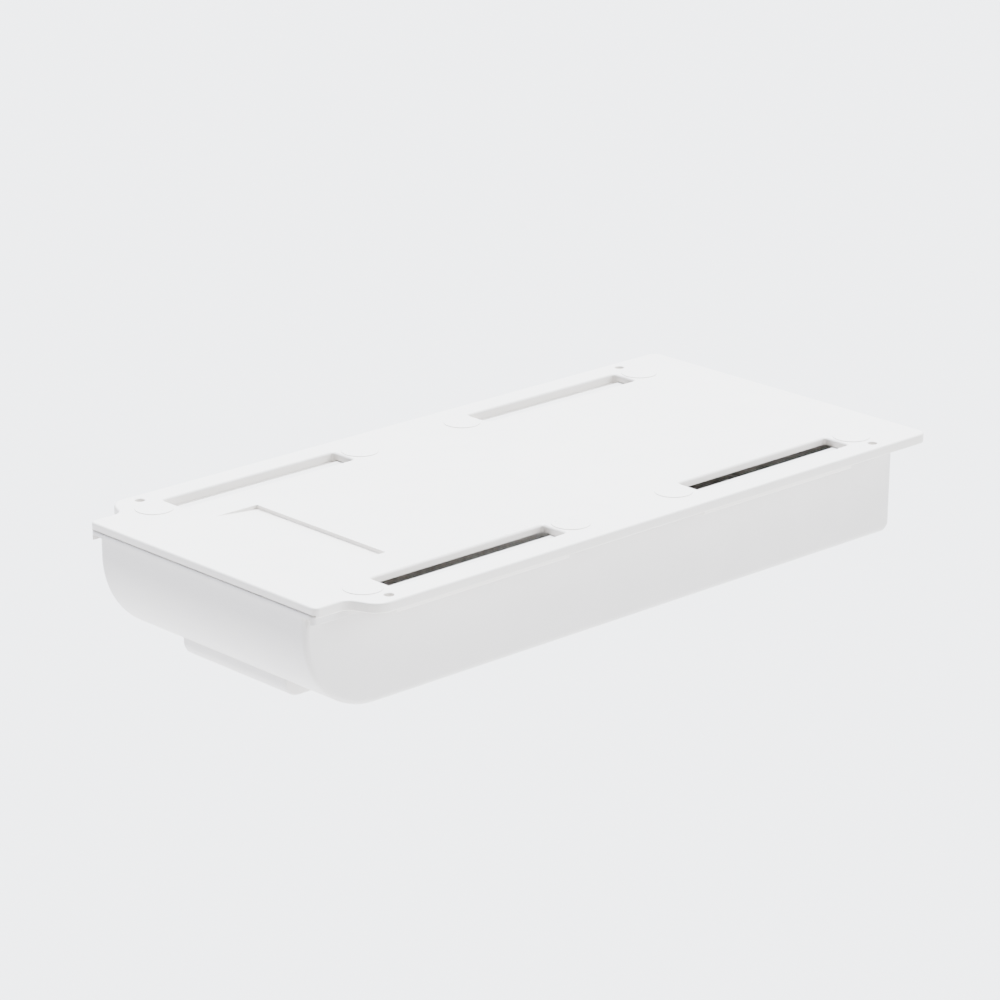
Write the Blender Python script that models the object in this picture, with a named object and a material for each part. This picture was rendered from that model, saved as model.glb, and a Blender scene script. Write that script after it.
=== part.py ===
"""Under desk drawer: a mounting plate with four hanging rails, and a tray that slides in them.

Metres, +Z up, the front faces -Y. The origin is the middle of the plate's top face,
which lies against the underside of the desk.
"""
import math

import bpy
from mathutils import Matrix, Vector

# Mounting plate
PLATE_WIDTH = 0.165
PLATE_LENGTH = 0.334
PLATE_THICKNESS = 0.0030
SIDE_THICKNESS = 0.0043          # of the long sides, which guide the tray's rim between them
SIDE_INNER_X = 0.0688
PLATE_TOP_ROUND = 0.0009
PLATE_LOW_ROUND = 0.0007
NOSE_HALF_WIDTH = 0.0695        # the narrow front stretch, above the tray's rim
EAR_START = 0.01565             # where the plate begins to widen, from the front edge
EAR_END = 0.02097               # where it has its full width
NOSE_CORNER = 0.0027
EAR_INNER_CORNER = 0.005
EAR_OUTER_CORNER = 0.009
BACK_CORNER = 0.005

# Windows in the plate above the rails, two a side; the spans are from the front edge
WINDOW_CENTRE_X = 0.0640
WINDOW_WIDTH = 0.0134
WINDOW_CORNER = 0.0015
WINDOW_EDGE_ROUND = 0.0010
WINDOW_SPANS = ((0.0380, 0.1295), (0.2065, 0.2960))

# Round pads that stand a little proud of the top face, at both ends of each window
PAD_RADIUS = 0.0080
PAD_END_GAP = 0.0013
PAD_HEIGHT = 0.0003
PAD_EDGE_ROUND = 0.0001

# Screw holes in the ears
HOLE_RADIUS = 0.0020
HOLE_X = 0.0763
HOLE_FROM_FRONT = (0.0310, 0.3050)
HOLE_EDGE_ROUND = 0.0004

# Snap stop: a ramp pressed down into the plate, with its steep side to the back
STOP_HALF_WIDTH = 0.0393
STOP_START = 0.0385
STOP_END = 0.0620
STOP_DEPTH = 0.0018             # of the recess on top
STOP_LOW = -0.0046              # where the ramp ends below
STOP_WALL = 0.0024              # plastic beside the recess and behind its steep side

# Rails, one under each window
RAIL_OUTER_X = 0.0730
RAIL_WEB = 0.0022
RAIL_LIP_INNER_X = 0.0650
RAIL_LIP_TOP = -0.0076
RAIL_BOTTOM = -0.0103
RAIL_EDGE_ROUND = 0.0004
RAIL_END_SLANT = 0.83           # the lip reaches past the web at both ends, this much per width
JOIN_GAP = 0.0003               # between pieces that touch

# Tray
WALL = 0.0018
BODY_HALF_WIDTH = 0.0636
BODY_FRONT = 0.0001             # from the plate's front edge
BODY_BACK = 0.3334
BODY_TOP = -0.0042              # inside the rim
BODY_BOTTOM = -0.0493
BODY_FRONT_RADIUS = 0.0360
BODY_BACK_RADIUS = 0.0045
BODY_SIDE_ROUND = 0.0026
INSIDE_ROUND = 0.0015
SIDE_DRAFT = math.tan(math.radians(0.8))

RIM_HALF_WIDTH = 0.0685
RIM_FRONT = -0.0005
RIM_BACK = 0.3341
RIM_TOP = -0.0033
RIM_THICKNESS = 0.0018
RIM_CORNER = 0.0025
RIM_TOP_ROUND = 0.0009
RIM_LOW_ROUND = 0.0004
FLANGE_DEPTH = 0.0040           # of the two sides, which hang down in a lip
FLANGE_LIP = 0.0016

# Pull: a lip under the curved front, with a finger pocket that is open below and behind
PULL_HALF_WIDTH = 0.0320
PULL_FRONT = 0.0162
PULL_BOTTOM = -0.0517
PULL_FRONT_RADIUS = 0.0070
PULL_FLAT_END = 0.0340
PULL_BACK = 0.0440
PULL_BACK_RADIUS = 0.0060
PULL_FRONT_WALL = 0.0045
PULL_SIDE_WALL = 0.0023
PULL_SIDE_ROUND = 0.0012

CHORD_ERROR = 0.00003           # how far a piece of an arc may stray from it
ROUND_STEPS = 3
FLARE_TURN = math.radians(78)   # how far round a cut edge turns before the cutter leaves it
OVERCUT = 0.0015                # how far a cutter runs past a face
SHARP_ANGLE = math.radians(35)


def from_front(distance):
    """A Y coordinate, measured from the plate's front edge."""
    return distance - PLATE_LENGTH / 2


def clear_scene():
    for obj in list(bpy.data.objects):
        bpy.data.objects.remove(obj, do_unlink=True)


def plastic(name, colour, roughness):
    material = bpy.data.materials.new(name)
    material.use_nodes = True
    shader = material.node_tree.nodes["Principled BSDF"]
    shader.inputs["Base Color"].default_value = (*colour, 1.0)
    shader.inputs["Roughness"].default_value = roughness
    shader.inputs["Metallic"].default_value = 0.0
    return material


def arc_pieces(radius, turn):
    """How many straight pieces an arc needs."""
    piece = 2 * math.acos(1 - CHORD_ERROR / radius)
    return max(2, math.ceil(abs(turn) / piece))


# Outlines: a function that gives the points, counter-clockwise, of an outline grown by a distance

def filleted(corners):
    """An outline through (x, y, radius) corners; offset copies keep concentric arcs."""
    points = [Vector(corner[:2]) for corner in corners]
    sides = [(points[(i + 1) % len(points)] - here).normalized() for i, here in enumerate(points)]

    def outline(distance):
        ring = []
        for i, (here, (x, y, radius)) in enumerate(zip(points, corners)):
            into, out = sides[i - 1], sides[i]
            turn = math.atan2(into.cross(out), into.dot(out))
            miter = Vector((into.y + out.y, -into.x - out.x)) / (1 + into.dot(out))
            place = here + miter * distance
            if not radius:
                ring.append(place)
                continue
            side = math.copysign(1.0, turn)
            arc_radius = radius + side * distance
            inward = Vector((-into.y, into.x)) * side
            centre = place - into * arc_radius * math.tan(abs(turn) / 2) + inward * arc_radius
            pieces = arc_pieces(radius, turn)
            for k in range(pieces + 1):
                arm = -inward * arc_radius
                arm.rotate(Matrix.Rotation(turn * k / pieces, 2))
                ring.append(centre + arm)
        return ring

    return outline


def circle(x, y, radius):
    pieces = arc_pieces(radius, 2 * math.pi)

    def outline(distance):
        ring = []
        for k in range(pieces):
            arm = Vector((radius + distance, 0.0))
            arm.rotate(Matrix.Rotation(2 * math.pi * k / pieces, 2))
            ring.append(Vector((x, y)) + arm)
        return ring

    return outline


def solid(name, vertices, faces):
    mesh = bpy.data.meshes.new(name)
    mesh.from_pydata(vertices, [], faces)
    obj = bpy.data.objects.new(name, mesh)
    bpy.context.scene.collection.objects.link(obj)
    return obj


def bands(levels, count):
    """The quads between neighbouring rings of count points each."""
    faces = []
    for level in range(levels - 1):
        low, high = level * count, (level + 1) * count
        for i in range(count):
            j = (i + 1) % count
            faces.append((low + i, low + j, high + j, high + i))
    return faces


def stack(name, outline, levels, place):
    """A closed solid through an outline at rising levels (distance, height).

    place turns the outline's (u, v) and the height into a point.
    """
    rings = [[place(point.x, point.y, height) for point in outline(distance)]
             for distance, height in levels]
    count = len(rings[0])
    vertices = [vertex for ring in rings for vertex in ring]
    caps = [tuple(reversed(range(count))), tuple(range(len(vertices) - count, len(vertices)))]
    return solid(name, vertices, bands(len(rings), count) + caps)


def upright(u, v, height):
    return (u, v, height)


def sideways(u, v, height):
    """An outline in the side view: u runs back, v runs up, the height runs to the right."""
    return (height, u, v)


def lengthways(u, v, height):
    """An outline in the front view, as a left-handed pair: the height runs to the front."""
    return (u, -height, v)


def rounded_levels(low, high, low_round, high_round):
    """Levels of a solid whose rims are rounded off."""
    levels = []
    for k in range(ROUND_STEPS + 1):
        angle = math.pi / 2 * k / ROUND_STEPS
        if low_round:
            levels.append((-low_round * (1 - math.sin(angle)), low + low_round * (1 - math.cos(angle))))
    if not low_round:
        levels.append((0.0, low))
    for k in range(ROUND_STEPS + 1):
        angle = math.pi / 2 * k / ROUND_STEPS
        if high_round:
            levels.append((-high_round * (1 - math.cos(angle)), high - high_round * (1 - math.sin(angle))))
    if not high_round:
        levels.append((0.0, high))
    return levels


def flare(edge):
    """(growth, depth) steps of a cutter that leaves a rounded edge on the face it comes out of."""
    rise = []
    for k in range(ROUND_STEPS):
        angle = FLARE_TURN * k / (ROUND_STEPS - 1)
        rise.append((edge * (1 - math.cos(angle)), edge * (1 - math.sin(angle))))
    rise.append((rise[-1][0] + OVERCUT, rise[-1][1] - OVERCUT))
    return rise


def flared_levels(low, high, low_edge, high_edge):
    """Levels of a cutter that leaves rounded edges on the faces at low and high."""
    return ([(grow, low + depth) for grow, depth in reversed(flare(low_edge))]
            + [(grow, high - depth) for grow, depth in flare(high_edge)])


def rectangle(x0, y0, x1, y1, radius):
    return filleted([(x0, y0, radius), (x1, y0, radius), (x1, y1, radius), (x0, y1, radius)])


def boolean(target, tool, operation):
    """Cuts or joins tool to target, and leaves only target."""
    modifier = target.modifiers.new(operation.lower(), "BOOLEAN")
    modifier.operation = operation
    modifier.object = tool
    modifier.solver = "EXACT"
    graph = bpy.context.evaluated_depsgraph_get()
    graph.update()
    result = bpy.data.meshes.new_from_object(target.evaluated_get(graph))
    target.modifiers.clear()
    old = target.data
    target.data = result
    bpy.data.meshes.remove(old)
    bpy.data.objects.remove(tool, do_unlink=True)


def finish(obj, name, material):
    obj.name = name
    obj.data.name = name
    obj.data.materials.clear()
    obj.data.materials.append(material)
    obj.data.shade_smooth()
    obj.data.set_sharp_from_angle(angle=SHARP_ANGLE)
    return obj


# Mounting plate

def plate_outline():
    front, back = from_front(0.0), from_front(PLATE_LENGTH)
    half = PLATE_WIDTH / 2
    right = [
        (NOSE_HALF_WIDTH, front, NOSE_CORNER),
        (NOSE_HALF_WIDTH, from_front(EAR_START), EAR_INNER_CORNER),
        (half, from_front(EAR_END), EAR_OUTER_CORNER),
        (half, back, BACK_CORNER),
    ]
    return filleted(right + [(-x, y, radius) for x, y, radius in reversed(right)])


def ramp(name, half_width, start, end, low, high, depth):
    """A wedge across the plate: flat at high, falling from low at start to low - depth at end."""
    side = [(from_front(start), low, 0.0), (from_front(end), low - depth, 0.0),
            (from_front(end), high, 0.0), (from_front(start), high, 0.0)]
    return stack(name, filleted(side), [(0.0, -half_width), (0.0, half_width)], sideways)


def upright_cutter(name, outline, low, high):
    return stack(name, outline, [(0.0, low), (0.0, high)], upright)


def mounting_plate(material):
    plate = stack("plate", plate_outline(), rounded_levels(
        -SIDE_THICKNESS, 0.0, PLATE_LOW_ROUND, PLATE_TOP_ROUND), upright)
    middle = rectangle(-SIDE_INNER_X, from_front(-OVERCUT), SIDE_INNER_X,
                       from_front(PLATE_LENGTH + OVERCUT), 0.0)
    boolean(plate, upright_cutter("middle", middle, -SIDE_THICKNESS - OVERCUT, -PLATE_THICKNESS),
            "DIFFERENCE")
    boolean(plate, ramp("stop", STOP_HALF_WIDTH + STOP_WALL, STOP_START, STOP_END + STOP_WALL,
                        -PLATE_THICKNESS, -PLATE_THICKNESS / 2, -PLATE_THICKNESS - STOP_LOW), "UNION")
    boolean(plate, ramp("recess", STOP_HALF_WIDTH, STOP_START, STOP_END,
                        0.0, OVERCUT, STOP_DEPTH), "DIFFERENCE")
    for side in (-1, 1):
        for start, end in WINDOW_SPANS:
            x = side * WINDOW_CENTRE_X
            window = rectangle(x - WINDOW_WIDTH / 2, from_front(start),
                               x + WINDOW_WIDTH / 2, from_front(end), WINDOW_CORNER)
            levels = [(grow, -depth) for grow, depth in flare(WINDOW_EDGE_ROUND)]
            boolean(plate, stack("window", window, [(0.0, -SIDE_THICKNESS - OVERCUT)] + levels, upright),
                    "DIFFERENCE")
            for y in (from_front(start) - PAD_END_GAP - PAD_RADIUS,
                      from_front(end) + PAD_END_GAP + PAD_RADIUS):
                boolean(plate, stack("pad", circle(x, y, PAD_RADIUS), rounded_levels(
                    -PLATE_THICKNESS / 2, PAD_HEIGHT, 0.0, PAD_EDGE_ROUND), upright), "UNION")
        for distance in HOLE_FROM_FRONT:
            x, y = side * HOLE_X, from_front(distance)
            boolean(plate, stack("hole", circle(x, y, HOLE_RADIUS), flared_levels(
                -SIDE_THICKNESS, 0.0, HOLE_EDGE_ROUND, HOLE_EDGE_ROUND), upright), "DIFFERENCE")
    return finish(plate, "mounting_plate", material)


# Rails

def rail(name, side, start, end, material):
    """An L under the plate: a web outside the tray's flange and a longer lip below it."""
    inner_x = RAIL_OUTER_X - RAIL_WEB
    top = -SIDE_THICKNESS - JOIN_GAP
    section = [(RAIL_LIP_INNER_X, RAIL_BOTTOM, RAIL_EDGE_ROUND),
               (RAIL_OUTER_X, RAIL_BOTTOM, RAIL_WEB / 2),
               (RAIL_OUTER_X, top, 0.0), (inner_x, top, 0.0),
               (inner_x, RAIL_LIP_TOP, RAIL_EDGE_ROUND),
               (RAIL_LIP_INNER_X, RAIL_LIP_TOP, RAIL_EDGE_ROUND)]
    if side < 0:
        section = [(-x, z, radius) for x, z, radius in reversed(section)]
    levels = [(0.0, -from_front(end)), (0.0, -from_front(start))]
    body = stack(name, filleted(section), levels, lengthways)
    middle = from_front((start + end) / 2)
    for vertex in body.data.vertices:
        reach = RAIL_END_SLANT * (RAIL_OUTER_X - abs(vertex.co.x))
        vertex.co.y += math.copysign(reach, vertex.co.y - middle)
    return finish(body, name, material)


# Tray

def draft(obj):
    """Narrows the tray's sides towards the floor."""
    for vertex in obj.data.vertices:
        depth = max(0.0, RIM_TOP - vertex.co.z)
        vertex.co.x *= 1 - SIDE_DRAFT * depth / BODY_HALF_WIDTH


def tray_form(name, inset, top, edge):
    """The tray's body in the side view, inset from the outer skin, as a solid."""
    side = [(from_front(BODY_FRONT + inset), BODY_BOTTOM + inset, BODY_FRONT_RADIUS - inset),
            (from_front(BODY_BACK - inset), BODY_BOTTOM + inset, BODY_BACK_RADIUS),
            (from_front(BODY_BACK - inset), top, 0.0), (from_front(BODY_FRONT + inset), top, 0.0)]
    half = BODY_HALF_WIDTH - inset
    form = stack(name, filleted(side), rounded_levels(-half, half, edge, edge), sideways)
    draft(form)
    return form


def rim():
    """The bead round the tray's mouth; its two sides are flanges that end in a lip."""
    front, back = from_front(RIM_FRONT), from_front(RIM_BACK)
    outline = rectangle(-RIM_HALF_WIDTH, front, RIM_HALF_WIDTH, back, RIM_CORNER)
    slab = stack("rim", outline, rounded_levels(
        RIM_TOP - FLANGE_DEPTH, RIM_TOP, RIM_LOW_ROUND, RIM_TOP_ROUND), upright)
    middle = RIM_HALF_WIDTH - FLANGE_LIP
    channel = rectangle(-middle, front - OVERCUT, middle, back + OVERCUT, 0.0)
    boolean(slab, upright_cutter("channel", channel, RIM_TOP - FLANGE_DEPTH - OVERCUT,
                                 RIM_TOP - RIM_THICKNESS), "DIFFERENCE")
    return slab


def pull():
    """The grip: a front wall and two side walls under the curve of the tray's front."""
    inside = BODY_BOTTOM + BODY_FRONT_RADIUS / 4
    side = [(from_front(PULL_FRONT), PULL_BOTTOM, PULL_FRONT_RADIUS),
            (from_front(PULL_FLAT_END), PULL_BOTTOM, PULL_BACK_RADIUS),
            (from_front(PULL_BACK), BODY_BOTTOM + WALL / 2, 0.0),
            (from_front(PULL_BACK), inside, 0.0), (from_front(PULL_FRONT), inside, 0.0)]
    lip = stack("pull", filleted(side), rounded_levels(
        -PULL_HALF_WIDTH, PULL_HALF_WIDTH, PULL_SIDE_ROUND, PULL_SIDE_ROUND), sideways)
    half = PULL_HALF_WIDTH - PULL_SIDE_WALL
    pocket = rectangle(-half, from_front(PULL_FRONT + PULL_FRONT_WALL), half,
                       from_front(PULL_BACK) + OVERCUT, PULL_SIDE_WALL / 2)
    boolean(lip, upright_cutter("pocket", pocket, PULL_BOTTOM - OVERCUT, inside + OVERCUT), "DIFFERENCE")
    return lip


def drawer_tray(material):
    tray = rim()
    boolean(tray, tray_form("body", 0.0, BODY_TOP, BODY_SIDE_ROUND), "UNION")
    boolean(tray, pull(), "UNION")
    boolean(tray, tray_form("inside", WALL, RIM_TOP + OVERCUT, INSIDE_ROUND), "DIFFERENCE")
    return finish(tray, "drawer_tray", material)


def main():
    clear_scene()
    plate_white = plastic("plate_white", (0.84, 0.84, 0.85), 0.38)
    rail_white = plastic("rail_white", (0.82, 0.82, 0.83), 0.42)
    tray_white = plastic("tray_white", (0.80, 0.80, 0.81), 0.40)
    mounting_plate(plate_white)
    for side, side_name in ((-1, "left"), (1, "right")):
        for (start, end), end_name in zip(WINDOW_SPANS, ("front", "back")):
            rail(f"rail_{end_name}_{side_name}", side, start, end, rail_white)
    drawer_tray(tray_white)


main()
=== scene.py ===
"""Looks of the under desk drawer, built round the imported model.

Two white mouldings: the mounting plate with its four rails, and the tray that slides in them.
Metres, in the frame's own axes: the front faces -Y, +Z runs up into the desk, and the origin is
the middle of the plate's top face.
"""
import math

import bpy
from mathutils import Matrix, Vector


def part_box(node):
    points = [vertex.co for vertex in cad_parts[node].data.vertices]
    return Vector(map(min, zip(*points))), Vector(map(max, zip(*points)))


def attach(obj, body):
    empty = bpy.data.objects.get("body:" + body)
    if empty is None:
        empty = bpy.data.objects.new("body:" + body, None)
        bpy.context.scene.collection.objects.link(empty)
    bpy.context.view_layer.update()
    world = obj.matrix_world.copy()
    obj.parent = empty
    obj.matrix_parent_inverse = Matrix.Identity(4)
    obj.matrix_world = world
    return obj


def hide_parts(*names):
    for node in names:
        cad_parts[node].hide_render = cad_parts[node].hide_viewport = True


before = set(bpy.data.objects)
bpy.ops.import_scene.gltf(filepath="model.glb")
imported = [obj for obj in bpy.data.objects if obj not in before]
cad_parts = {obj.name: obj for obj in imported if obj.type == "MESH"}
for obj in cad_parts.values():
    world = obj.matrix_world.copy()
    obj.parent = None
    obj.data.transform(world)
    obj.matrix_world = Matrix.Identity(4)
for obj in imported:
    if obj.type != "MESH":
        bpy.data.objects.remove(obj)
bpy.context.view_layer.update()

PLATE_LOW, PLATE_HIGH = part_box("mounting_plate")
TRAY_LOW, TRAY_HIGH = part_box("drawer_tray")

# Mounting plate
FRONT, BACK = PLATE_LOW.y, PLATE_HIGH.y
PLATE_HALF_WIDTH = PLATE_HIGH.x
PLATE_THICKNESS = 0.0030
SIDE_THICKNESS = 0.0043         # of the long sides, which guide the tray's rim between them
SIDE_INNER_X = 0.0688
PLATE_TOP_ROUND = 0.0009
PLATE_LOW_ROUND = 0.0007
NOSE_HALF_WIDTH = 0.0695        # the narrow front stretch
EAR_START = 0.01565             # where the plate begins to widen, from the front edge
EAR_END = 0.02097
NOSE_CORNER = 0.0027
EAR_INNER_CORNER = 0.005
EAR_OUTER_CORNER = 0.009
BACK_CORNER = 0.005

WINDOW_CENTRE_X = 0.0640
WINDOW_WIDTH = 0.0134
WINDOW_CORNER = 0.0015
WINDOW_EDGE_ROUND = 0.0010
WINDOW_SPANS = ((0.0380, 0.1295), (0.2065, 0.2960))

PAD_RADIUS = 0.0080
PAD_END_GAP = 0.0013
PAD_EDGE_ROUND = 0.0001

HOLE_RADIUS = 0.0020
HOLE_X = 0.0763
HOLE_FROM_FRONT = (0.0310, 0.3050)
HOLE_EDGE_ROUND = 0.0004

STOP_HALF_WIDTH = 0.0393
STOP_START = 0.0385
STOP_END = 0.0620
STOP_DEPTH = 0.0018             # of the recess on top
STOP_LOW = -0.0046              # where the ramp ends below
STOP_WALL = 0.0024
STOP_EDGE_ROUND = 0.0005

# Rails
RAIL_WEB = 0.0022
RAIL_LIP = 0.0027
RAIL_END_SLANT = 0.83           # the lip reaches past the web at both ends, this much per width
RAIL_EDGE_ROUND = 0.0005
RAIL_ROOT_ROUND = 0.0009        # the fillet where the rail grows out of the plate
RAIL_ROOT_CLEAR = 0.00005       # how far the root runs past its fillet
RAIL_END_ROUND = 0.0003
RAIL_EMBED = 0.0004             # how far the fillet reaches up into the plate

# Tray
WALL = 0.0018
BODY_HALF_WIDTH = 0.0636
BODY_FRONT = 0.0001
BODY_BACK = 0.3334
BODY_TOP = -0.0042
BODY_BOTTOM = -0.0493
BODY_FRONT_RADIUS = 0.0360
BODY_BACK_RADIUS = 0.0045
BODY_SIDE_ROUND = 0.0026
INSIDE_ROUND = 0.0022
SIDE_DRAFT = math.tan(math.radians(0.8))

RIM_TOP = TRAY_HIGH.z
RIM_HALF_WIDTH = TRAY_HIGH.x
RIM_THICKNESS = 0.0018
RIM_CORNER = 0.0025
RIM_TOP_ROUND = 0.0009
RIM_LOW_ROUND = 0.0004
RIM_INNER_ROUND = 0.0005
FLANGE_DEPTH = 0.0040           # of the two sides, which hang down in a lip
FLANGE_LIP = 0.0016

PULL_HALF_WIDTH = 0.0320
PULL_FRONT = 0.0162
PULL_BOTTOM = TRAY_LOW.z
PULL_FRONT_RADIUS = 0.0070
PULL_FLAT_END = 0.0340
PULL_BACK = 0.0440
PULL_BACK_RADIUS = 0.0060
PULL_FRONT_WALL = 0.0045
PULL_SIDE_WALL = 0.0023
PULL_SIDE_ROUND = 0.0012
PULL_REACH = BODY_FRONT_RADIUS / 4      # how far it runs up into the curve of the tray's front

# Marks that the mould leaves on the tray
PIN_RADIUS = 0.0035
PIN_DEPTH = 0.00012
PIN_X = 0.0420
PIN_FROM_FRONT = (0.0700, 0.1700, 0.2700)
GATE_RADIUS = 0.0050
GATE_DEPTH = 0.0006
GATE_NUB_RADIUS = 0.0011
GATE_NUB_HEIGHT = 0.0004

# Plastics: lighter tone, darker tone, roughness, strength of the etched grain
PLATE_LOOK = ((0.86, 0.82, 0.77), (0.83, 0.79, 0.74), 0.40, 0.25)
RAIL_LOOK = ((0.85, 0.81, 0.76), (0.82, 0.78, 0.73), 0.42, 0.25)
TRAY_LOOK = ((0.76, 0.73, 0.70), (0.73, 0.70, 0.67), 0.44, 0.35)
PLASTIC_IOR = 1.49
ROUGHNESS_SWING = 0.04          # either way, from place to place
RUBBED_SHINE = 0.10             # how much smoother the rubbed patches are
WAVE_STRENGTH = 0.25
WAVE_DEPTH = 0.0006
GRAIN_DEPTH = 0.00006

# Noises in the plastics: scale, detail and, where they run lengthways, stretch
MOTTLE_NOISE = (60.0, 5.0)
CLOUD_NOISE = (14.0, 3.0)
RUB_NOISE = (25.0, 6.0, (1.0, 0.25, 1.0))
SHEEN_NOISE = (420.0, 3.0)
WAVE_NOISE = (22.0, 1.0, (1.0, 0.35, 1.0))
GRAIN_NOISE = (1500.0, 2.0)

# The part of a noise's range that is spread out
TONE_RANGE = (0.35, 0.65)
RUB_RANGE = (0.55, 0.70)
SHEEN_RANGE = (0.3, 0.7)

# Fineness of the meshes
CHORD_ERROR = 0.000012          # how far a piece of an arc may stray from it
ROUND_STEPS = 5
FLARE_TURN = math.radians(80)
OVERCUT = 0.0015
SHARP_ANGLE = math.radians(38)

# Studio
CAMERA_PLACE = (1.1058, -1.0405, 0.5014)
CAMERA_DOWN = math.radians(18.70)
CAMERA_AZIMUTH = math.radians(46.94)
CAMERA_LENS = 138.64
CAMERA_REACH = 100.0
FLOOR_SIZE = 30.0
FLOOR_DROP = 1.0                # the drawer hangs high over the floor, as it does under a desk
FLOOR_TONE = (0.69, 0.67, 0.65)
FLOOR_ROUGHNESS = 0.8
WHITE_LIGHT = (0.88, 0.93, 1.0)
COOL_LIGHT = (0.68, 0.72, 1.0)
LIGHTS = {                      # name: direction, spread in degrees, strength, colour
    "top_light": ((0.25, -0.23, -1.0), 30, 21.0, WHITE_LIGHT),
    "left_light": ((0.80, 0.60, -0.15), 35, 1.8, COOL_LIGHT),
    "right_light": ((-0.75, -0.57, -0.36), 30, 4.0, WHITE_LIGHT),
    "back_light": ((0.73, -0.68, -0.45), 50, 3.0, WHITE_LIGHT),
}
WORLD_STRENGTH = 0.03


def from_front(distance):
    """A Y coordinate, measured from the plate's front edge."""
    return FRONT + distance


# Outlines: a function that gives the points, counter-clockwise, of an outline grown by a distance

def arc_pieces(radius, turn):
    """How many straight pieces an arc needs."""
    piece = 2 * math.acos(1 - min(1.0, CHORD_ERROR / radius))
    return max(3, math.ceil(abs(turn) / piece))


def filleted(corners):
    """An outline through (x, y, radius) corners; offset copies keep concentric arcs."""
    points = [Vector((x, y)) for x, y, _ in corners]
    radii = [radius for _, _, radius in corners]
    sides = [(points[(i + 1) % len(points)] - here).normalized() for i, here in enumerate(points)]

    def outline(distance):
        ring = []
        for i, (here, radius) in enumerate(zip(points, radii)):
            into, out = sides[i - 1], sides[i]
            turn = math.atan2(into.cross(out), into.dot(out))
            miter = Vector((into.y + out.y, -into.x - out.x)) / (1 + into.dot(out))
            place = here + miter * distance
            if not radius:
                ring.append(place)
                continue
            side = math.copysign(1.0, turn)
            arc_radius = radius + side * distance
            inward = Vector((-into.y, into.x)) * side
            centre = place - into * arc_radius * math.tan(abs(turn) / 2) + inward * arc_radius
            pieces = arc_pieces(radius, turn)
            for k in range(pieces + 1):
                arm = -inward * arc_radius
                arm.rotate(Matrix.Rotation(turn * k / pieces, 2))
                ring.append(centre + arm)
        return ring

    return outline


def rectangle(x0, y0, x1, y1, radius):
    return filleted([(x0, y0, radius), (x1, y0, radius), (x1, y1, radius), (x0, y1, radius)])


def circle(x, y, radius):
    pieces = arc_pieces(radius, 2 * math.pi)

    def outline(distance):
        ring = []
        for k in range(pieces):
            arm = Vector((radius + distance, 0.0))
            arm.rotate(Matrix.Rotation(2 * math.pi * k / pieces, 2))
            ring.append(Vector((x, y)) + arm)
        return ring

    return outline


# Solids

def solid(name, vertices, faces):
    mesh = bpy.data.meshes.new(name)
    mesh.from_pydata(vertices, [], faces)
    obj = bpy.data.objects.new(name, mesh)
    bpy.context.scene.collection.objects.link(obj)
    return obj


def stack(name, outline, levels, place):
    """A closed solid through an outline at rising levels (distance, height).

    place turns the outline's (u, v) and the height into a point.
    """
    rings = [[place(point.x, point.y, height) for point in outline(distance)]
             for distance, height in levels]
    count = len(rings[0])
    faces = [tuple(reversed(range(count)))]
    for level in range(len(rings) - 1):
        low, high = level * count, (level + 1) * count
        for i in range(count):
            j = (i + 1) % count
            faces.append((low + i, low + j, high + j, high + i))
    faces.append(tuple(range((len(rings) - 1) * count, len(rings) * count)))
    return solid(name, [vertex for ring in rings for vertex in ring], faces)


def upright(u, v, height):
    return (u, v, height)


def sideways(u, v, height):
    """An outline in the side view: u runs back, v runs up, the height runs to the right."""
    return (height, u, v)


def lengthways(u, v, height):
    """An outline in the front view: the height runs to the front."""
    return (u, -height, v)


def rounded_levels(low, high, low_round, high_round):
    """Levels of a solid whose rims are rounded off."""
    turns = [math.pi / 2 * k / ROUND_STEPS for k in range(ROUND_STEPS + 1)]
    levels = [(0.0, low)]
    if low_round:
        levels = [(low_round * (math.sin(t) - 1), low + low_round * (1 - math.cos(t))) for t in turns]
    if high_round:
        levels += [(high_round * (math.cos(t) - 1), high - high_round * (1 - math.sin(t))) for t in turns]
    else:
        levels.append((0.0, high))
    return levels


def flare(edge):
    """(growth, depth) steps of a cutter that leaves a rounded edge on the face it comes out of."""
    rise = []
    for k in range(ROUND_STEPS):
        angle = FLARE_TURN * k / (ROUND_STEPS - 1)
        rise.append((edge * (1 - math.cos(angle)), edge * (1 - math.sin(angle))))
    rise.append((rise[-1][0] + OVERCUT, rise[-1][1] - OVERCUT))
    return rise


def flared_levels(low, high, edge):
    """Levels of a cutter that leaves rounded edges on the faces at low and high."""
    return ([(grow, low + depth) for grow, depth in reversed(flare(edge))]
            + [(grow, high - depth) for grow, depth in flare(edge)])


def boolean(target, tool, operation):
    """Cuts or joins tool to target, and leaves only target."""
    modifier = target.modifiers.new(operation.lower(), "BOOLEAN")
    modifier.operation = operation
    modifier.object = tool
    modifier.solver = "EXACT"
    graph = bpy.context.evaluated_depsgraph_get()
    graph.update()
    result = bpy.data.meshes.new_from_object(target.evaluated_get(graph))
    target.modifiers.clear()
    old = target.data
    target.data = result
    bpy.data.meshes.remove(old)
    bpy.data.objects.remove(tool, do_unlink=True)


def moulded(obj, name, material, slot, body, *nodes):
    """Finishes a piece: its shading, material, body and the CAD nodes that it stands for."""
    obj.name = name
    obj.data.name = name
    obj.data.materials.clear()
    obj.data.materials.append(material)
    obj.data.shade_smooth()
    obj.data.set_sharp_from_angle(angle=SHARP_ANGLE)
    weighted = obj.modifiers.new("weighted_normals", "WEIGHTED_NORMAL")
    weighted.keep_sharp = True
    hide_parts(*nodes)
    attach(obj, body)


# Mounting plate

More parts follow.
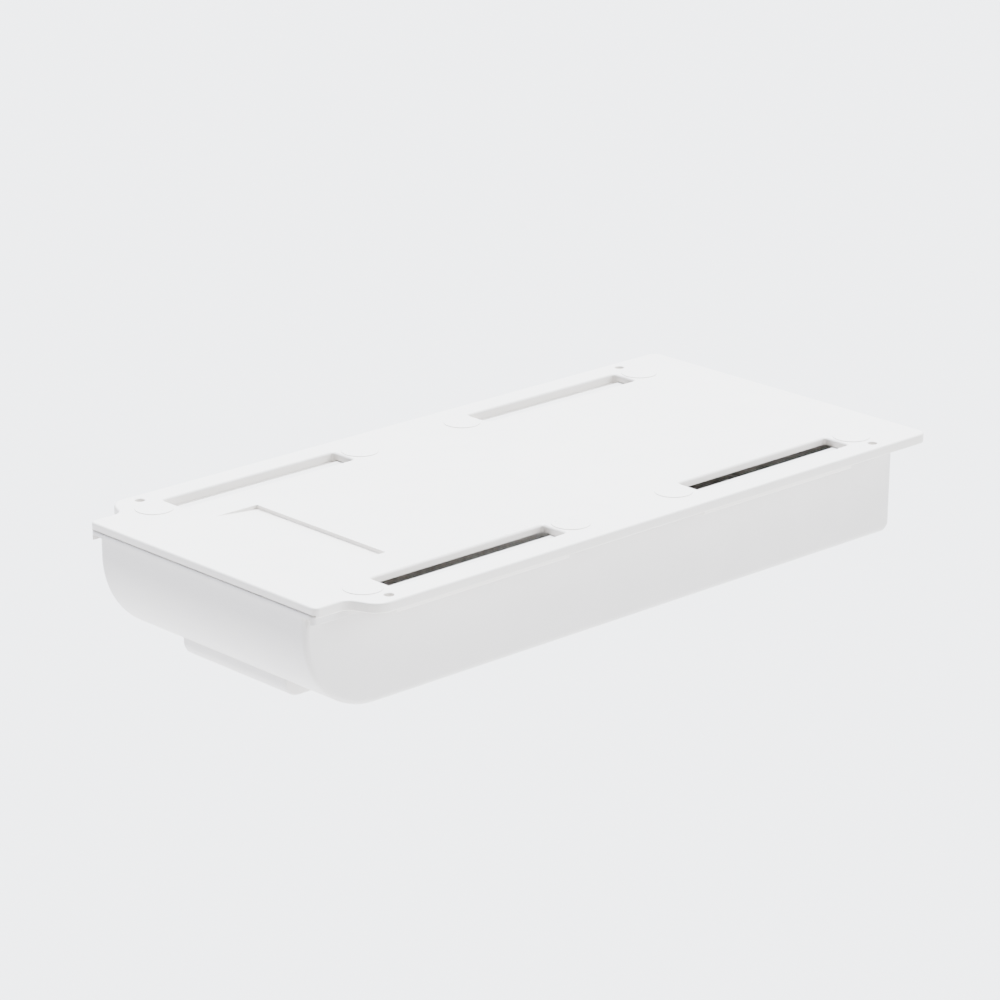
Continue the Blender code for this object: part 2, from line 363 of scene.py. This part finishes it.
def plate_outline():
    right = [
        (NOSE_HALF_WIDTH, FRONT, NOSE_CORNER),
        (NOSE_HALF_WIDTH, from_front(EAR_START), EAR_INNER_CORNER),
        (PLATE_HALF_WIDTH, from_front(EAR_END), EAR_OUTER_CORNER),
        (PLATE_HALF_WIDTH, BACK, BACK_CORNER),
    ]
    return filleted(right + [(-x, y, radius) for x, y, radius in reversed(right)])


def ramp(name, half_width, start, end, low, high, depth, edge):
    """A wedge across the plate: flat at high, falling from low at start to low - depth at end."""
    side = [(from_front(start), low, 0.0), (from_front(end), low - depth, edge),
            (from_front(end), high, 0.0), (from_front(start), high, 0.0)]
    return stack(name, filleted(side), rounded_levels(-half_width, half_width, edge, edge), sideways)


def upright_cutter(name, outline, low, high):
    return stack(name, outline, [(0.0, low), (0.0, high)], upright)


def mounting_plate(material):
    plate = stack("plate", plate_outline(), rounded_levels(
        -SIDE_THICKNESS, 0.0, PLATE_LOW_ROUND, PLATE_TOP_ROUND), upright)
    middle = rectangle(-SIDE_INNER_X, FRONT - OVERCUT, SIDE_INNER_X, BACK + OVERCUT, 0.0)
    boolean(plate, upright_cutter("middle", middle, -SIDE_THICKNESS - OVERCUT, -PLATE_THICKNESS),
            "DIFFERENCE")
    boolean(plate, ramp("stop", STOP_HALF_WIDTH + STOP_WALL, STOP_START, STOP_END + STOP_WALL,
                        -PLATE_THICKNESS, -PLATE_THICKNESS / 2,
                        -PLATE_THICKNESS - STOP_LOW, STOP_EDGE_ROUND), "UNION")
    boolean(plate, ramp("recess", STOP_HALF_WIDTH, STOP_START, STOP_END,
                        0.0, OVERCUT, STOP_DEPTH, STOP_EDGE_ROUND), "DIFFERENCE")
    for side in (-1, 1):
        x = side * WINDOW_CENTRE_X
        for start, end in WINDOW_SPANS:
            window = rectangle(x - WINDOW_WIDTH / 2, from_front(start),
                               x + WINDOW_WIDTH / 2, from_front(end), WINDOW_CORNER)
            levels = [(grow, -depth) for grow, depth in flare(WINDOW_EDGE_ROUND)]
            boolean(plate, stack("window", window, [(0.0, -SIDE_THICKNESS - OVERCUT)] + levels, upright),
                    "DIFFERENCE")
            for y in (from_front(start) - PAD_END_GAP - PAD_RADIUS,
                      from_front(end) + PAD_END_GAP + PAD_RADIUS):
                boolean(plate, stack("pad", circle(x, y, PAD_RADIUS), rounded_levels(
                    -PLATE_THICKNESS / 2, PLATE_HIGH.z, 0.0, PAD_EDGE_ROUND), upright), "UNION")
        for distance in HOLE_FROM_FRONT:
            hole = circle(side * HOLE_X, from_front(distance), HOLE_RADIUS)
            boolean(plate, stack("hole", hole, flared_levels(
                -SIDE_THICKNESS, 0.0, HOLE_EDGE_ROUND), upright), "DIFFERENCE")
    moulded(plate, "plate_moulding", material, "plate_plastic", "plate", "mounting_plate")


def rail(node, side, start, end, material):
    """An L that grows out of the plate's underside with a fillet on both sides of its web."""
    low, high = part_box(node)
    outer_x = max(abs(low.x), abs(high.x))
    lip_x = min(abs(low.x), abs(high.x))
    inner_x = outer_x - RAIL_WEB
    root, top = -SIDE_THICKNESS, -SIDE_THICKNESS + RAIL_EMBED
    spread = RAIL_ROOT_ROUND + RAIL_ROOT_CLEAR
    section = [(lip_x, low.z, RAIL_EDGE_ROUND), (outer_x, low.z, RAIL_WEB / 2),
               (outer_x, root, RAIL_ROOT_ROUND), (outer_x + spread, root, 0.0),
               (outer_x + spread, top, 0.0), (inner_x - spread, top, 0.0),
               (inner_x - spread, root, 0.0), (inner_x, root, RAIL_ROOT_ROUND),
               (inner_x, low.z + RAIL_LIP, RAIL_EDGE_ROUND), (lip_x, low.z + RAIL_LIP, RAIL_EDGE_ROUND)]
    if side < 0:
        section = [(-x, z, radius) for x, z, radius in reversed(section)]
    body = stack(node, filleted(section), rounded_levels(
        -from_front(end), -from_front(start), RAIL_END_ROUND, RAIL_END_ROUND), lengthways)
    middle = from_front((start + end) / 2)
    for vertex in body.data.vertices:
        reach = RAIL_END_SLANT * (outer_x - abs(vertex.co.x))
        vertex.co.y += math.copysign(reach, vertex.co.y - middle)
    moulded(body, node + "_moulding", material, "rail_plastic", "plate", node)


# Tray

def draft(obj):
    """Narrows the tray's sides towards the floor."""
    for vertex in obj.data.vertices:
        depth = max(0.0, RIM_TOP - vertex.co.z)
        vertex.co.x *= 1 - SIDE_DRAFT * depth / BODY_HALF_WIDTH


def tray_form(name, inset, top, edge):
    """The tray's body in the side view, inset from the outer skin, as a solid."""
    back_radius = max(BODY_BACK_RADIUS - inset, edge)
    side = [(from_front(BODY_FRONT + inset), BODY_BOTTOM + inset, BODY_FRONT_RADIUS - inset),
            (from_front(BODY_BACK - inset), BODY_BOTTOM + inset, back_radius),
            (from_front(BODY_BACK - inset), top, 0.0), (from_front(BODY_FRONT + inset), top, 0.0)]
    half = BODY_HALF_WIDTH - inset
    form = stack(name, filleted(side), rounded_levels(-half, half, edge, edge), sideways)
    draft(form)
    return form


def rim():
    """The bead round the tray's mouth; its two sides are flanges that end in a lip."""
    outline = rectangle(TRAY_LOW.x, TRAY_LOW.y, TRAY_HIGH.x, TRAY_HIGH.y, RIM_CORNER)
    slab = stack("rim", outline, rounded_levels(
        RIM_TOP - FLANGE_DEPTH, RIM_TOP, RIM_LOW_ROUND, RIM_TOP_ROUND), upright)
    middle = RIM_HALF_WIDTH - FLANGE_LIP
    channel = rectangle(-middle, TRAY_LOW.y - OVERCUT, middle, TRAY_HIGH.y + OVERCUT, 0.0)
    boolean(slab, upright_cutter("channel", channel, RIM_TOP - FLANGE_DEPTH - OVERCUT,
                                 RIM_TOP - RIM_THICKNESS), "DIFFERENCE")
    return slab


def rim_mouth():
    """A cutter that rounds the rim's inner edge."""
    inset = BODY_HALF_WIDTH - WALL
    mouth = rectangle(-inset, from_front(BODY_FRONT + WALL), inset, from_front(BODY_BACK - WALL),
                      INSIDE_ROUND)
    levels = [(grow, RIM_TOP - depth) for grow, depth in flare(RIM_INNER_ROUND)]
    return stack("mouth", mouth, [(0.0, RIM_TOP - FLANGE_DEPTH)] + levels, upright)


def pull():
    """The grip: a front wall and two side walls under the curve of the tray's front."""
    inside = BODY_BOTTOM + PULL_REACH
    side = [(from_front(PULL_FRONT), PULL_BOTTOM, PULL_FRONT_RADIUS),
            (from_front(PULL_FLAT_END), PULL_BOTTOM, PULL_BACK_RADIUS),
            (from_front(PULL_BACK), BODY_BOTTOM + WALL / 2, 0.0),
            (from_front(PULL_BACK), inside, 0.0), (from_front(PULL_FRONT), inside, 0.0)]
    lip = stack("pull", filleted(side), rounded_levels(
        -PULL_HALF_WIDTH, PULL_HALF_WIDTH, PULL_SIDE_ROUND, PULL_SIDE_ROUND), sideways)
    half = PULL_HALF_WIDTH - PULL_SIDE_WALL
    pocket = rectangle(-half, from_front(PULL_FRONT + PULL_FRONT_WALL), half,
                       from_front(PULL_BACK) + OVERCUT, PULL_SIDE_WALL / 2)
    boolean(lip, upright_cutter("pocket", pocket, PULL_BOTTOM - OVERCUT, inside + OVERCUT), "DIFFERENCE")
    return lip


def mould_marks(tray):
    """The ejector pins' prints on the floor inside, and the gate's dimple and nub outside."""
    floor = BODY_BOTTOM + WALL
    for side in (-1, 1):
        for distance in PIN_FROM_FRONT:
            pin = circle(side * PIN_X, from_front(distance), PIN_RADIUS)
            boolean(tray, upright_cutter("pin", pin, floor - PIN_DEPTH, floor + OVERCUT), "DIFFERENCE")
    middle = circle(0.0, from_front(BODY_BACK / 2), GATE_RADIUS)
    boolean(tray, stack("gate", middle, [
        (OVERCUT, BODY_BOTTOM - OVERCUT), (0.0, BODY_BOTTOM), (-GATE_DEPTH, BODY_BOTTOM + GATE_DEPTH)],
        upright), "DIFFERENCE")
    nub = circle(0.0, from_front(BODY_BACK / 2), GATE_NUB_RADIUS)
    ceiling = BODY_BOTTOM + GATE_DEPTH
    boolean(tray, stack("nub", nub, rounded_levels(
        ceiling - GATE_NUB_HEIGHT, ceiling + GATE_NUB_HEIGHT, GATE_NUB_HEIGHT / 2, 0.0), upright), "UNION")


def drawer_tray(material):
    tray = rim()
    boolean(tray, tray_form("body", 0.0, BODY_TOP, BODY_SIDE_ROUND), "UNION")
    boolean(tray, pull(), "UNION")
    boolean(tray, tray_form("inside", WALL, RIM_TOP + OVERCUT, INSIDE_ROUND), "DIFFERENCE")
    boolean(tray, rim_mouth(), "DIFFERENCE")
    mould_marks(tray)
    moulded(tray, "tray_moulding", material, "tray_plastic", "tray", "drawer_tray")


# Materials

def moulded_plastic(name, light, dark, roughness, grain):
    """White moulded plastic: a fine etched grain, flow waves, faint mottling and rubbed patches."""
    material = bpy.data.materials.new(name)
    material.use_nodes = True
    nodes, links = material.node_tree.nodes, material.node_tree.links
    shader = nodes["Principled BSDF"]
    shader.inputs["Metallic"].default_value = 0.0
    shader.inputs["IOR"].default_value = PLASTIC_IOR
    place = nodes.new("ShaderNodeTexCoord").outputs["Object"]

    def noise(scale, detail, stretch=(1.0, 1.0, 1.0)):
        mapping = nodes.new("ShaderNodeMapping")
        mapping.inputs["Scale"].default_value = stretch
        texture = nodes.new("ShaderNodeTexNoise")
        texture.inputs["Scale"].default_value = scale
        texture.inputs["Detail"].default_value = detail
        links.new(place, mapping.inputs["Vector"])
        links.new(mapping.outputs["Vector"], texture.inputs["Vector"])
        return texture.outputs["Fac"]

    def spread(value, low, high, new_low, new_high):
        node = nodes.new("ShaderNodeMapRange")
        node.inputs["From Min"].default_value = low
        node.inputs["From Max"].default_value = high
        node.inputs["To Min"].default_value = new_low
        node.inputs["To Max"].default_value = new_high
        links.new(value, node.inputs["Value"])
        return node.outputs["Result"]

    def arithmetic(operation, first, second):
        node = nodes.new("ShaderNodeMath")
        node.operation = operation
        links.new(first, node.inputs[0])
        if isinstance(second, float):
            node.inputs[1].default_value = second
        else:
            links.new(second, node.inputs[1])
        return node.outputs["Value"]

    mottle = spread(noise(*MOTTLE_NOISE), *TONE_RANGE, 0.0, 1.0)
    cloud = spread(noise(*CLOUD_NOISE), *TONE_RANGE, 0.0, 1.0)
    tone = nodes.new("ShaderNodeMix")
    tone.data_type = "RGBA"
    tone.inputs["A"].default_value = (*light, 1.0)
    tone.inputs["B"].default_value = (*dark, 1.0)
    links.new(arithmetic("MULTIPLY", arithmetic("ADD", mottle, cloud), 0.5), tone.inputs["Factor"])
    links.new(tone.outputs["Result"], shader.inputs["Base Color"])

    rubbed = spread(noise(*RUB_NOISE), *RUB_RANGE, 0.0, RUBBED_SHINE)
    fine = spread(noise(*SHEEN_NOISE), *SHEEN_RANGE,
                  roughness - ROUGHNESS_SWING, roughness + ROUGHNESS_SWING)
    links.new(arithmetic("SUBTRACT", fine, rubbed), shader.inputs["Roughness"])

    waves = nodes.new("ShaderNodeBump")
    waves.inputs["Strength"].default_value = WAVE_STRENGTH
    waves.inputs["Distance"].default_value = WAVE_DEPTH
    links.new(noise(*WAVE_NOISE), waves.inputs["Height"])
    etched = nodes.new("ShaderNodeBump")
    etched.inputs["Strength"].default_value = grain
    etched.inputs["Distance"].default_value = GRAIN_DEPTH
    links.new(noise(*GRAIN_NOISE), etched.inputs["Height"])
    links.new(waves.outputs["Normal"], etched.inputs["Normal"])
    links.new(etched.outputs["Normal"], shader.inputs["Normal"])
    return material


# Studio

def plain_floor():
    half = FLOOR_SIZE / 2
    height = TRAY_LOW.z - FLOOR_DROP
    floor = solid("studio_floor", [(-half, -half, height), (half, -half, height),
                                   (half, half, height), (-half, half, height)], [(0, 1, 2, 3)])
    material = bpy.data.materials.new("studio_floor")
    material.use_nodes = True
    shader = material.node_tree.nodes["Principled BSDF"]
    shader.inputs["Base Color"].default_value = (*FLOOR_TONE, 1.0)
    shader.inputs["Roughness"].default_value = FLOOR_ROUGHNESS
    floor.data.materials.append(material)


def soft_sun(name, towards, spread, strength, colour):
    """A soft distant light that shines along a direction."""
    light = bpy.data.lights.new(name, "SUN")
    light.energy = strength
    light.angle = math.radians(spread)
    light.color = colour
    obj = bpy.data.objects.new(name, light)
    obj.rotation_mode = "QUATERNION"
    obj.rotation_quaternion = Vector(towards).to_track_quat("-Z", "Y")
    bpy.context.scene.collection.objects.link(obj)


def studio():
    plain_floor()
    for name, light in LIGHTS.items():
        soft_sun(name, *light)
    world = bpy.data.worlds.new("studio_world")
    bpy.context.scene.world = world
    world.use_nodes = True
    background = world.node_tree.nodes["Background"]
    background.inputs["Color"].default_value = (*WHITE_LIGHT, 1.0)
    background.inputs["Strength"].default_value = WORLD_STRENGTH


def camera():
    data = bpy.data.cameras.new("camera")
    data.lens = CAMERA_LENS
    data.clip_end = CAMERA_REACH
    obj = bpy.data.objects.new("camera", data)
    obj.location = CAMERA_PLACE
    obj.rotation_euler = (math.pi / 2 - CAMERA_DOWN, 0.0, CAMERA_AZIMUTH)
    bpy.context.scene.collection.objects.link(obj)
    bpy.context.scene.camera = obj


plate_plastic = moulded_plastic("plate_plastic", *PLATE_LOOK)
rail_plastic = moulded_plastic("rail_plastic", *RAIL_LOOK)
tray_plastic = moulded_plastic("tray_plastic", *TRAY_LOOK)
mounting_plate(plate_plastic)
for rail_side, side_name in ((-1, "left"), (1, "right")):
    for (rail_start, rail_end), end_name in zip(WINDOW_SPANS, ("front", "back")):
        rail(f"rail_{end_name}_{side_name}", rail_side, rail_start, rail_end, rail_plastic)
drawer_tray(tray_plastic)
studio()
camera()
